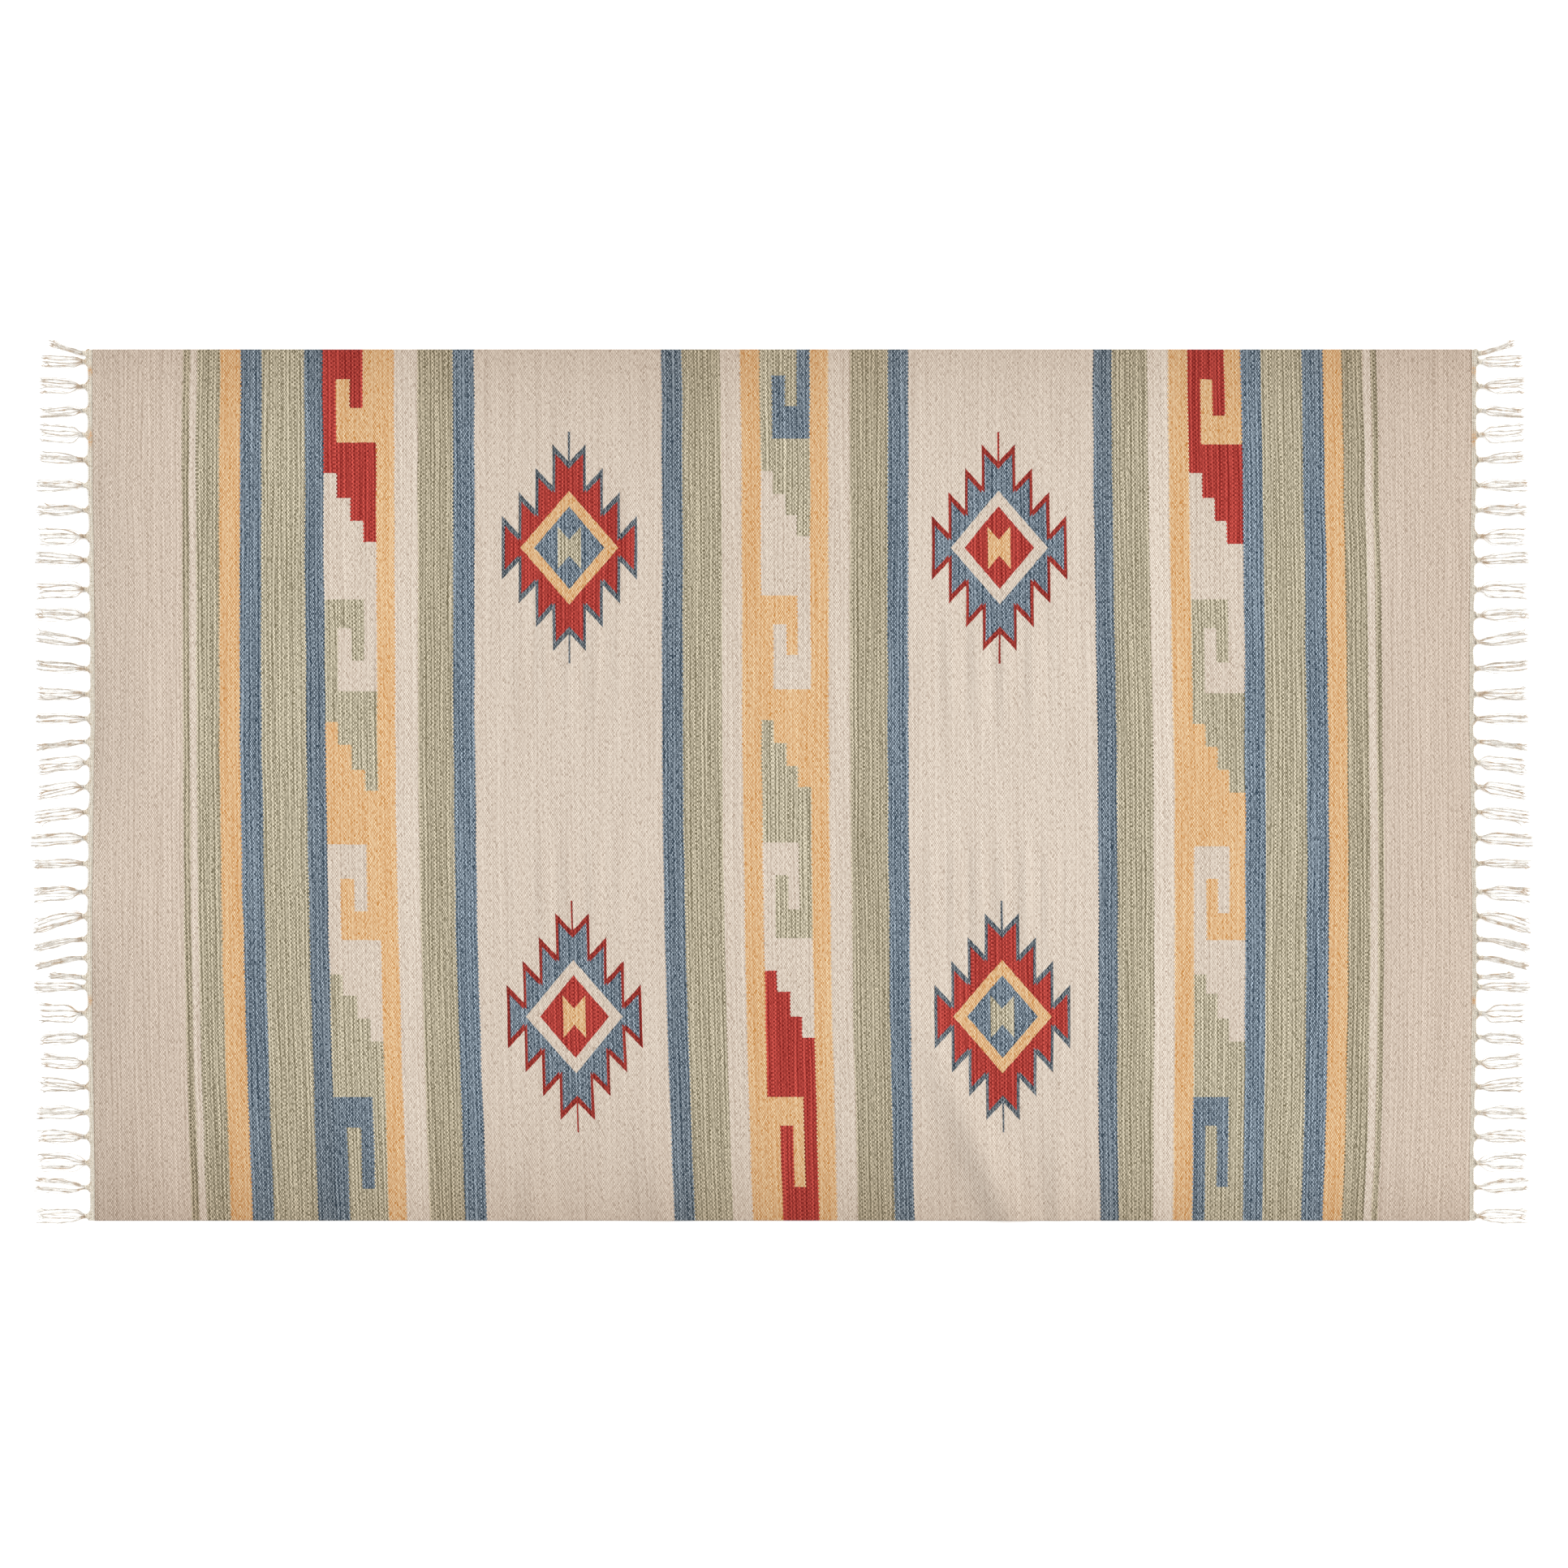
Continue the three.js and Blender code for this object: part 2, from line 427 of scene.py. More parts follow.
def wanderAt(v):
    # Eased from one row of endWander to the next.
    places, outs = endWander[::-1].T
    after, share = intervalAt(places, v)
    return outs[after - 1] + ease(share) * (outs[after] - outs[after - 1])


def driftAt(u, v):
    # Across the rug a quartic through each row's five values; along it straight from row to row.
    known = sorted(drift)
    places = np.array([-halfLength, *known, halfLength])
    curves = [np.polyval(np.polyfit(driftRows, drift[place], 4), v) for place in known]
    values = np.array([-wanderAt(v), *curves, wanderAt(v)])
    after, share = intervalAt(places, u)
    return values[after - 1] + share[:, None] * (values[after] - values[after - 1])


def creasesAt(u, v):
    # height * exp(-(distance / half width) ** 2), eased from nothing at the start of the line.
    height = 0.0
    for startU, startV, endU, endV, half, top in creases:
        along = np.array([endU - startU, endV - startV])
        length = np.hypot(*along)
        way = ((u - startU) * along[0] + (v - startV) * along[1]) / length
        aside = ((u - startU) * along[1] - (v - startV) * along[0]) / length
        height = height + top * np.exp(-((aside / half) ** 2)) * ease(way / length)
    return height


def puckersAt(u, v):
    # height * (1 + cos(2 pi (u - ridge) / spacing)), fading both ways along v, and within reach of
    # its field's middle by 1 - (a / reach) ** 2.
    height = 0.0
    for middle, ridge, spacing, start, full, end, top in puckers:
        window = np.clip(1 - ((u - middle) / puckerReach) ** 2, 0, 1)
        window = window * ease((start - v) / (start - full)) * ease((v - end) / (full - end))
        height = height + top * (1 + np.cos(2 * np.pi * (u - ridge) / spacing)) * window
    return height


def patchesAt(u, v):
    # gain * exp(-(a / reach along) ** 2 - (b / reach across) ** 2) about each patch's middle.
    lighter = 0.0
    for middleU, middleV, reachU, reachV, gain in patches:
        lighter = lighter + gain * np.exp(-(((u - middleU) / reachU) ** 2) - ((v - middleV) / reachV) ** 2)
    return lighter


def hookRuns(units, column):
    # A column's colours from the selvedge down, as starts and dyes, by the rule of the unit.
    runs = []
    for figure, ground, below, start, hole, prong, *block in units:
        runs.append((start, ground if column == 3 else figure))
        if column == 1:
            runs.append((hole, ground))
        if column == 2:
            runs.append((prong, ground))
        if block:
            if column > 0:
                runs.append((block[0], figure))
            runs.append((block[1 + column], below))
    return runs


def chartDyes():
    # Each cell's start along the warp, its dye at every warp from -Y to +Y and its lightness.
    fromTop = (np.arange(cloth["warps"])[::-1] + 0.5) * warp
    cells = [(start, np.full(len(fromTop), dyeNumber[dye]), tone) for start, dye, tone in stripes]
    for band in hookBands:
        for column, start in enumerate(band["columns"]):
            runs = hookRuns(band["units"], column)
            starts = np.array([run[0] for run in runs])
            numbers = np.array([dyeNumber[run[1]] for run in runs])
            cells.append((start, numbers[np.searchsorted(starts, fromTop, side="right") - 1], 1.0))
    for place, (start, dye, tone) in enumerate(stripes):
        if dye == "field":
            plain = np.full(len(fromTop), dyeNumber[dye])
            inner = np.linspace(start, stripes[place + 1][0], cloth["fieldCells"] + 1)[1:-1]
            cells += [(between, plain, tone) for between in inner]
    cells.sort(key=lambda cell: cell[0])
    starts, rows, tones = zip(*cells)
    inside = halfLength - cloth["endEase"]
    edges = np.array([-halfLength, -inside, *starts[1:], inside, halfLength])
    return edges, np.array([rows[0], *rows, rows[-1]]), np.array([1.0, *tones, 1.0])


def runEdges(dyeRows):
    # For each warp of each cell: where its run of one dye begins and ends across the rug, and the
    # dyes before and after it.
    count = dyeRows.shape[1]
    places = np.arange(count + 1)
    changes = np.ones((len(dyeRows), count + 1), bool)
    changes[:, 1:-1] = dyeRows[:, 1:] != dyeRows[:, :-1]
    low = np.maximum.accumulate(np.where(changes[:, :-1], places[:-1], 0), axis=1)
    high = np.minimum.accumulate(np.where(changes[:, 1:], places[1:], count)[:, ::-1], axis=1)[:, ::-1]
    below = np.take_along_axis(dyeRows, np.maximum(low - 1, 0), axis=1)
    above = np.take_along_axis(dyeRows, np.minimum(high, count - 1), axis=1)
    return low, high, below, above


def clothRing():
    # One cross-section of the sheet from selvedge to selvedge over the top and back underneath:
    # v and height. The ribs of the top are a zigzag of half a warp a step.
    steps = 2 * cloth["warps"]
    place = np.arange(steps + 1)
    v = -halfWidth + place * cloth["width"] / steps
    v[0] += cloth["selvedgeIn"] + cloth["selvedgeRound"]
    v[-1] -= cloth["selvedgeIn"] + cloth["selvedgeRound"]
    top = cloth["top"] - cloth["ribDepth"] * (place % 2 == 0)
    top[[0, -1]] -= cloth["selvedgeEase"]
    under = place[::-cloth["underStep"]]
    bottom = np.zeros(len(under))
    bottom[[0, -1]] += cloth["selvedgeEase"]
    rise, inwards = np.array(cloth["bends"]).T
    bend = rise * cloth["top"]
    out = halfWidth - cloth["selvedgeIn"] - cloth["selvedgeRound"] * inwards
    ringV = np.concatenate([v, out, v[under], -out])
    return ringV, np.concatenate([top, bend, bottom, bend[::-1]]), under


def clothPoints(edges, ringV, ringZ):
    # A ring at every edge of the chart, and how far creases and puckers raise each of its points.
    # The two end rings are thinner, and the upper side of the others is uneven.
    u = edges[:, None]
    squeeze = np.ones_like(u)
    squeeze[[0, -1]] = cloth["endShrink"]
    middle = cloth["top"] / 2
    z = middle + (ringZ - middle) * squeeze
    wave = sum(np.sin(u / along + ringV / across + phase) for along, across, phase in cloth["waves"])
    raised = creasesAt(u, ringV) + puckersAt(u, ringV)
    z = z + cloth["unevenness"] * wave * (ringZ > middle) * (squeeze == 1) + raised
    x = u + driftAt(edges, ringV)
    points = np.stack(np.broadcast_arrays(x * mm, ringV * mm + middleY, z * mm), -1)
    return points.reshape(-1, 3), raised


def clothFaces(stations, ring, under):
    # Quads round the sheet; at its two ends the underside's edges joined to the ribs over them,
    # and a small polygon at each selvedge.
    station, place = np.meshgrid(np.arange(stations - 1), np.arange(ring), indexing="ij")
    after = (place + 1) % ring
    corners = [(station, place), (station + 1, place), (station + 1, after), (station, after)]
    quads = np.stack([s * ring + p for s, p in corners], axis=-1).reshape(-1, 4)
    span = 2 * cloth["warps"]
    foot = span + len(cloth["bends"]) + 1
    below = foot + np.arange(len(under) - 1)
    above = under[:-1, None] - np.arange(cloth["underStep"] + 1)
    strip = np.column_stack([below + 1, below, above])
    last = (stations - 1) * ring
    strips = np.concatenate([strip + last, strip[:, ::-1]])
    nearTop = np.arange(foot, span - 1, -1)
    nearFoot = np.arange(ring, ring - len(nearTop), -1) % ring
    polygons = np.array([nearTop + last, nearFoot + last, nearTop[::-1], nearFoot[::-1]])
    return [quads, strips, polygons]


def writeCells(piece, edges, dyeRows, tones, under):
    # What each face knows: its cell's edges, lightness and dye, and the dyes beyond each edge.
    # At a selvedge and on the two ends' faces the edge lies far out, where nothing is past it.
    top = np.repeat(np.arange(cloth["warps"]), 2)
    turn = np.full(len(cloth["bends"]) + 1, cloth["warps"] - 1)
    bottom = (under[:-1] - cloth["underStep"] // 2) // 2
    warpOf = np.concatenate([top, turn, bottom, np.zeros_like(turn)])
    low, high, below, above = [rows[:, warpOf] for rows in runEdges(dyeRows)]
    own = dyeRows[:, warpOf]
    lowU = np.broadcast_to(edges[:-1, None], own.shape) * mm
    highU = np.broadcast_to(edges[1:, None], own.shape) * mm
    lowV = np.where(low == 0, -2 * halfWidth, low * warp - halfWidth) * mm
    highV = np.where(high == cloth["warps"], 2 * halfWidth, high * warp - halfWidth) * mm
    before = np.concatenate([own[:1], own[:-1]])
    beyond = np.concatenate([own[1:], own[-1:]])
    tone = np.broadcast_to(tones[:, None], own.shape)
    zero = np.zeros_like(lowU)
    far = cloth["length"] * mm
    sand = (dyeNumber["sand"],) * 3
    endFaces = len(piece.data.polygons) - own.size
    for name, rows, filler in (
        ("cellLow", (lowU, lowV, tone), (-far, -far, 1)),
        ("cellHigh", (highU, highV, zero), (far, far, 0)),
        ("cellDye", (own, before, beyond), sand),
        ("cellCross", (below, above, zero), sand),
    ):
        cells = np.stack(rows, -1).reshape(-1, 3)
        addVectors(piece, name, "FACE", np.concatenate([cells, np.tile(filler, (endFaces, 1))]))


def makeCloth():
    edges, dyeRows, tones = chartDyes()
    ringV, ringZ, under = clothRing()
    ring = len(ringV)
    points, raised = clothPoints(edges, ringV, ringZ)
    piece = makePiece("wovenCloth", points, clothFaces(len(edges), ring, under))
    writeCells(piece, edges, dyeRows, tones, under)
    lighter = patchesAt(edges[:, None], ringV)
    addVectors(piece, "relief", "POINT", np.stack([raised * mm, lighter, np.zeros_like(raised)], -1))

    # The loom's own map, in metres: u and v of every corner.
    loops = np.zeros(len(piece.data.loops), np.int32)
    piece.data.loops.foreach_get("vertex_index", loops)
    addMap(piece, "loom", np.stack([edges[loops // ring], ringV[loops % ring]], -1) * mm)
    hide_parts("cloth")
    return piece


# The weave's material.

weave = {
    "roughness": 0.92,
    "specular": 0.2,
    "sheen": 0.05,
    "sheenSpread": 0.5,
    "wobble": 1.1 * mm,
    "wobbleScale": 7.0,
    "ragged": 0.3,  # warps
    "raggedRow": 3.0,  # the row of chances that ragged edges read
    # How far picks and rows of beads slip, how fast that changes across the rug, and from where.
    "slips": ((0.8 * mm, 12.0, 0.0), (0.6 * mm, 110.0, 7.0)),
    "slipAlong": 150.0,
    # Two rhythms of light picks: picks from one to the next, how fast and how far that drifts
    # along the warp, and weight.
    "rhythms": ((3.3, 0.13, 4.5, 0.53), (5.4, 0.11, 5.0, 0.29)),
    "streakLength": 5.0,
    "broadWidth": 9.0 * mm,
    "broadLength": 4.0,
    "broadWeight": 0.32,
    "noiseApart": 40.0,
    "beadContrast": 0.45,
    # The rounded backs in colour: painted shade between beads, painted highlight on their middles.
    "paintedBeadShade": 0.8,
    "bumpHeight": 0.35 * mm,
    "bumpStrength": 0.5,
    "creaseGain": 1.5,
    # Painted shade towards both selvedges: how fast it fades inwards, and how deep at top and foot.
    "edgeFade": 110.0 * mm,
    "topFade": 0.2,
    "footFade": 0.25,
    # One tint for the painted shade and for the wool's own darker or lighter tone.
    "tint": (0.3, 0.167, 0.058, 1),
    "tintGain": 1.2,
    # Painted shade along the last warp, where the selvedge rounds down.
    "selvedgeLine": 0.12,
    "selvedgeWidth": 2.2 * mm,
    "endLine": 0.3,
    "endWidth": 1.5 * mm,
    "endRow": 5.0,  # as raggedRow, for the last pick
    "outlineShade": 0.3,
    "speckShare": 0.05,
    "speckDepth": 0.25,
    "powerScale": 2.0,  # brings a dye's power into a ramp's range
}

# Each dye's shadow and light, linear, with the weight of its streaks and of its single beads, and
# the power that its shade is raised to on the way from one to the other.
dyeLook = {
    "sand": ((0.427, 0.323, 0.241), (0.925, 0.803, 0.687), 0.43, 0.81, 0.9),
    "field": ((0.465, 0.358, 0.276), (0.988, 0.891, 0.775), 0.26, 0.87, 0.8),
    "pale": ((0.444, 0.335, 0.252), (0.964, 0.867, 0.748), 0.42, 1.07, 0.8),
    "green": ((0.168, 0.139, 0.071), (0.971, 0.884, 0.681), 0.66, 0.78, 1.5),
    "orange": ((0.584, 0.214, 0.015), (1.000, 0.811, 0.529), 0.30, 0.82, 1.15),
    "blue": ((0.009, 0.031, 0.057), (0.550, 0.655, 0.750), 0.46, 0.79, 2.25),
    "red": ((0.180, 0.000, 0.000), (0.850, 0.122, 0.096), 0.5, 0.36, 1.4),
}


def toothTop(a):
    # Height of the star's edge at a from its middle line: notchTop, less toothDrop for each whole
    # tooth, plus toothSlope times the way into the tooth.
    m = medallion
    tooth = (a / (m["toothWidth"] * mm)).math("FLOOR")
    rise = a * m["toothSlope"] + m["notchTop"] * mm
    return rise - tooth * ((m["toothDrop"] + m["toothSlope"] * m["toothWidth"]) * mm)


def medallionDye(dye, u, v):
    # Folds all four medallions onto one, then lays outline, body, ring, centre and hourglass.
    m = medallion
    sideU = u - m["middle"][0] * mm
    sideV = v - m["middle"][1] * mm
    same = (sideU * sideV) > 0.0  # 1 at upper right and lower left
    a = abs(abs(sideU) - m["reach"][0] * mm)
    b = abs(abs(sideV) - m["reach"][1] * mm)
    outline, body, ring, centre, glass = [
        dyeNumber[first] + (dyeNumber[second] - dyeNumber[first]) * same
        for first, second in zip(*medallionDyes)
    ]
    reach = m["teeth"] * m["toothWidth"] * mm
    rim = m["outline"] * mm
    star = (b < toothTop(a)) * (a < reach)
    dye = dye.towards(outline, star)
    inner = toothTop(a).math("MINIMUM", toothTop(a + rim))
    inner = inner - (m["outlineTop"] * mm + rim * m["toothSlope"])
    within = (b < inner) * (a < reach - rim)
    dye = dye.towards(body, within)
    lined = star * (1.0 - within)
    for part, colour in (("ring", ring), ("centre", centre)):
        size = m[part]
        dye = dye.towards(colour, (a / (size[0] * mm) + b / (size[1] * mm)) < 1.0)
    half, waist, flare = m["hourglass"]
    dye = dye.towards(glass, (a < half * mm) * (b < a * flare + waist * mm))
    half, near, far = m["thread"]
    thread = (a < half * mm) * (b > near * mm) * (b < far * mm)
    return dye.towards(outline, thread), lined.math("MAXIMUM", thread)


def beadAt(u, v):
    # The bead under a point: one warp wide and two picks long, its rows half a bead apart.
    pick = cloth["pick"] * mm
    row = (v / (warp * mm)).math("FLOOR")
    odd = abs(row.math("MODULO", 2.0))
    pickNumber = ((u / pick - odd) * 0.5).math("FLOOR") * 2.0 + odd
    return row, pickNumber, (pickNumber + 1.0) * pick, (row + 0.5) * (warp * mm)


def chartedDye(tree, pickNumber, beadU, beadV):
    # The cell's own dye, or the neighbour's where the bead's middle lies past an edge, and how
    # light the stripe's wool is.
    lowU, lowV, tone = attribute(tree, "cellLow")
    highU, highV = attribute(tree, "cellHigh")[:2]
    dye, before, beyond = attribute(tree, "cellDye")
    below, above = attribute(tree, "cellCross")[:2]
    pickChance = chance(pickNumber, weave["raggedRow"])
    raggedV = beadV + (pickChance - 0.5) * (2 * weave["ragged"] * warp * mm)
    dye = dye.towards(below, raggedV < lowV)
    dye = dye.towards(above, raggedV > highV)
    dye = dye.towards(before, beadU < lowU)
    return dye.towards(beyond, beadU > highU), tone


def dyeRamps(dye):
    # Shadow with the weight of the streaks, light with the weight of the beads, and the power.
    place = (dye + 0.5) / rampSteps
    looks = [dyeLook[name] for name in dyes]
    dark = ramp(place, [(*shadow, streaks) for shadow, light, streaks, beads, power in looks])
    light = ramp(place, [(*light, beads) for shadow, light, streaks, beads, power in looks])
    powers = ramp(place, [(0, 0, 0, look[-1] / weave["powerScale"]) for look in looks])
    return dark, light, powers[1] * weave["powerScale"]


def streaksAt(pickNumber, beadV):
    # Light picks come round in rhythms, and a slow noise keeps shifting each rhythm.
    streak = 0.0
    for number, (period, driftRate, turns, weight) in enumerate(weave["rhythms"]):
        along = beadV * weave["streakLength"] + weave["noiseApart"] * number
        shift = noise(place2d(pickNumber * driftRate, along)) * turns
        streak = (pickNumber * (2 * math.pi / period) + shift).math("COSINE") * weight + streak
    return streak


def paintedEdgeShadeAt(u, v, row):
    # Painted shade: darker towards both selvedges, where the light falls off, and along the very
    # last warp, where the selvedge rounds down. The cloth is also darker along the very last pick.
    nearTop = ((v - halfWidth * mm) / weave["edgeFade"]).math("EXPONENT") * weave["topFade"]
    nearFoot = ((v * -1.0 - halfWidth * mm) / weave["edgeFade"]).math("EXPONENT") * weave["footFade"]
    lastWarp = (abs(v) > halfWidth * mm - weave["selvedgeWidth"]) * weave["selvedgeLine"]
    lastPick = (abs(u) > halfLength * mm - weave["endWidth"]) * weave["endLine"]
    return nearTop + nearFoot + lastWarp + lastPick * chance(row, weave["endRow"])


def makeWeaveMaterial():
    material, tree, shader = newMaterial("kilimWeave", weave)
    loom = addNode(tree, "UVMap", {}, uv_map="loom")
    flatU, flatV = loom.split()[:2]
    wobble = (noise(loom, weave["wobbleScale"], 1.0) - 0.5) * (2 * weave["wobble"])
    slipU, slipV = [
        (noise(place2d(flatU * weave["slipAlong"], flatV * rate + start)) - 0.5) * (2 * reach)
        for reach, rate, start in weave["slips"]
    ]
    u = flatU + wobble + slipU
    v = flatV + slipV
    row, pickNumber, beadU, beadV = beadAt(u, v)
    dye, tone = chartedDye(tree, pickNumber, beadU, beadV)
    dye, outlined = medallionDye(dye, u, v)
    (dark, streakWeight), (light, beadWeight), power = dyeRamps(dye)

    # Streaks, over broad bands.
    along = v * weave["broadLength"] + weave["noiseApart"] * len(weave["rhythms"])
    bands = noise(place2d(u / weave["broadWidth"], along), 1.0, 1.0) - 0.5
    shade = streaksAt(pickNumber, beadV) * streakWeight + bands * weave["broadWeight"] + 0.5

    # Beads: each is unlike its neighbours in shade and has a rounded back, cos(pi a) cos(pi b)
    # about its middle, and a few are specks. The back is bumped, and also painted into the colour:
    # painted shade between the beads and a painted highlight on their middles.
    beadChance = chance(pickNumber, row)
    besideChance = chance(pickNumber + 2.0, row)
    aboveChance = chance(pickNumber, row + 2.0)
    contrast = beadChance - (besideChance + aboveChance) * 0.5
    roundAlong = ((u - beadU) * (math.pi / cloth["pick"] / mm)).math("COSINE")
    roundAcross = ((v - beadV) * (math.pi / warp / mm)).math("COSINE")
    back = roundAlong * roundAcross
    bead = contrast * weave["beadContrast"] + back * weave["paintedBeadShade"]
    bead = bead - (beadChance < weave["speckShare"]) * weave["speckDepth"]
    shade = (shade + bead * beadWeight).within(0.0, 1.0).math("POWER", power)
    colour = blendColours(dark, light, shade)

    # Painted shade towards the selvedges, outlines, patches (one of them painted shade beside a
    # crease) and the stripe's own lightness darken or lighten through one tint.
    crease, lighter = attribute(tree, "relief")[:2]
    darker = paintedEdgeShadeAt(flatU, v, row) + outlined * weave["outlineShade"] - lighter - tone + 1.0
    colour = blendColours(colour, weave["tint"], darker * weave["tintGain"], "MULTIPLY")
    feed(shader, {"Base Color": colour})
    raised = crease * (weave["creaseGain"] / weave["bumpHeight"] / weave["bumpStrength"])
    bump(shader, back + raised, weave)
    return material


wovenCloth = makeCloth()
wovenCloth.data.materials.append(makeWeaveMaterial())
print("cloth woven:", len(wovenCloth.data.polygons), "faces")

# The fringes.

# Tassels from the +Y selvedge down: v of the knot, reach of the tips from the rug's middle, how
# far the tips lie beside the knot, and how wide they fan out.
tassels = np.array([
    (693, 1177, 17, 8), (679, 1189, 0, 16), (640, 1193, 1, 25), (601, 1191, -4, 17),
    (562, 1191, 4, 23), (522, 1191, 6, 16), (481, 1197, -2, 18), (441, 1196, 1, 18),
    (399, 1195, 1, 25), (361, 1199, 5, 21), (314, 1197, -2, 23), (272, 1199, 4, 19),
    (230, 1198, 9, 17), (187, 1197, 5, 14), (146, 1195, 1, 16), (107, 1199, -1, 13),
    (70, 1197, -10, 10), (36, 1196, -8, 20), (-3, 1195, -12, 20), (-43, 1200, -10, 19),
    (-85, 1206, -5, 16), (-126, 1203, -1, 12), (-171, 1202, -4, 22), (-210, 1202, -18, 18),
    (-247, 1202, -14, 9), (-277, 1199, -14, 8), (-308, 1177, 2, 8), (-324, 1201, 0, 15),
    (-366, 1193, 1, 25), (-404, 1191, -4, 17), (-445, 1191, 4, 23), (-484, 1191, 6, 16),
    (-525, 1197, -2, 18), (-564, 1196, 1, 18), (-606, 1195, 1, 25), (-645, 1199, 5, 21),
    (-691, 1197, -2, 21),
])
knotV, tipX, lean, fan = tassels.T[:, :, None, None]
knots = (len(tassels), 1, 1)

fringe = {
    "seed": 11,
    "lowest": 0.05,
    "spread": (0.8, 1.15),  # of one tassel's webs and rings against another's
    # A tube's form: sides, length of a turn, lobe and flatness.
    "cordForm": (6, 6.14, 0.2, 1.3),
    "underForm": (6, 50.0, 0.0, 0.2),
    "webForm": (5, 5.2, 0.12, 1.0),
    "cords": 3,
    "cordStep": 0.75,
    "cordRadius": 1.2,
    "cordTip": 0.5,
    "cordRise": 1.5,
    "cordPitch": 2.1,
    "underHalf": 2.9,
    "underPlace": (3.0, 0.8),  # out from the cloth's end, and up
    "underEvery": 4,  # steps of the cords
    "uneven": (0.25, 0.25),  # always, and by waves of a length and a phase
    "unevenWaves": ((9.1, 0.0), (5.3, 1.3)),
    "pull": 2.6,  # how far a knot draws the outermost cord
    "pullReach": 8.0,
    "websPerTassel": 10,
    "webStations": 8,
    "webReach": 12.0,
    "webStray": (1.5, 0.5),  # of a tassel's webs together, and of each
    "webRadius": 1.0,
    "webStart": 4.62,
    "webBends": (1.15, 1.1),  # the powers of the way out and of the way in
    "webKnot": 0.15,  # of its offset that a web keeps at the knot
    "webRise": (1.5, 0.4, 1.5),  # and what every second web lies higher, at first and later
    "webStain": (0.2, 1.1),
    "sides": (-698, 699),  # v that no web passes, and no knot by knotGap
    "knotGap": 0.5,
    "knotOut": 13.0,
    "tasselOut": 14.0,
    "knotPoints": 12,
    "knotSides": 7,
    "knotRing": 2.7,
    "knotFlat": 0.75,
    "knotTube": 1.7,
    "knotRise": 3.64,
    "knotApart": 1.35,
    "knotTilt": 24,  # degrees
    "knotSway": 0.3,  # radians
    "knotStain": 0.6,
    "dyedPlaces": ((664, 7), (556, 12), (-346, 7)),  # orange wool caught in the band: v, reach
    "dyedFade": (1112, 3),  # u where its colour begins to fade, and over how much
}

# A tassel is some bundles of clinging yarns, paler single threads between them, and loose fibres.
# A wave is its size and turns. Where something happens along a yarn is its start and its reach.
tassel = {
    "stations": 20,
    "form": (5, 9.0, 0.15, 1.0),
    "tips": (1.0, 0.5),
    "leanBend": 1.3,
    "settled": 0.2,  # of the length, where the slow waves are full
    "bundles": 4,
    "yarnsPerBundle": 3,
    "yarnRadius": (0.5, 0.75),
    "yarnShades": (0.0, 1.0),
    "neckWidth": 6.0,
    "neckShare": (0.03, 0.3),
    "neckUneven": (0.4, 1),
    "partShare": (0.12, 0.35),
    "places": (0.45, 0.13),  # in the fan: evenly to either side, and by chance
    "bundleWave": ((0.3, 1.3), (0.6, 1.5)),
    "yarnWave": ((0.25, 0.6), (1.0, 2.4)),
    "stray": 2.4,
    "tangled": 0.35,  # share of the bundles
    "tangleWave": ((1.0, 2.2), (5, 8)),
    "tangleAt": (0.8, 0.2),
    "curled": 0.25,  # share of the yarns
    "curl": (2, 5),
    "curlAt": (0.75, 0.25),
    "short": (9, 0.8),  # the most by chance, and of the curl
    "levels": 3,
    "rise": (0.6, 1.6, 0.9),  # always, at the knot, and there for each level
    "humpWave": ((1, 1), (0.8, 1.8)),
    "hump": (0.25, 0.35),  # and for each level
    "tan": 0.6,
    "knotStain": (1.1, 0.18, 0.05),  # how deep, its reach, and what is left beyond
    "tipStain": (0.3, 0.6),  # and where tangled
    "tipStainAt": (0.82, 0.1),
    "threads": 6,
    "threadRadius": (0.34, 0.54),
    "threadShades": (0.7, 1.0),
    "threadNeckWidth": 4.8,
    "threadNeck": (0, 0.15),
    "threadPart": (0.2, 0.5),
    "threadPlaces": (0.5, 0.12),
    "threadWave": ((0.3, 1.6), (0.5, 1.8)),
    "threadHump": ((0, 1), (1, 2)),
    "threadRise": (0.4, 3.2, 0.4),  # always, at the knot, and of the hump
    "threadShort": (-3, 10),
    "threadStain": (0.7, 0.12, 0),
    "fibres": 26,
    "fibreStations": 6,
    "fibreForm": (3, 40.0, 0.0, 1.0),
    "fibreRadius": (0.17, 0.068),
    "fibreShades": (0.6, 1),
    "fibreLength": (8, 26),
    "fibrePast": 4,  # how far a fibre may pass its tassel's tips
    "fibreAside": (0.16, 0.1),  # straight and bending
    "fibreShort": 0.15,  # of what it turns aside
    "fibreRise": 0.3,
}


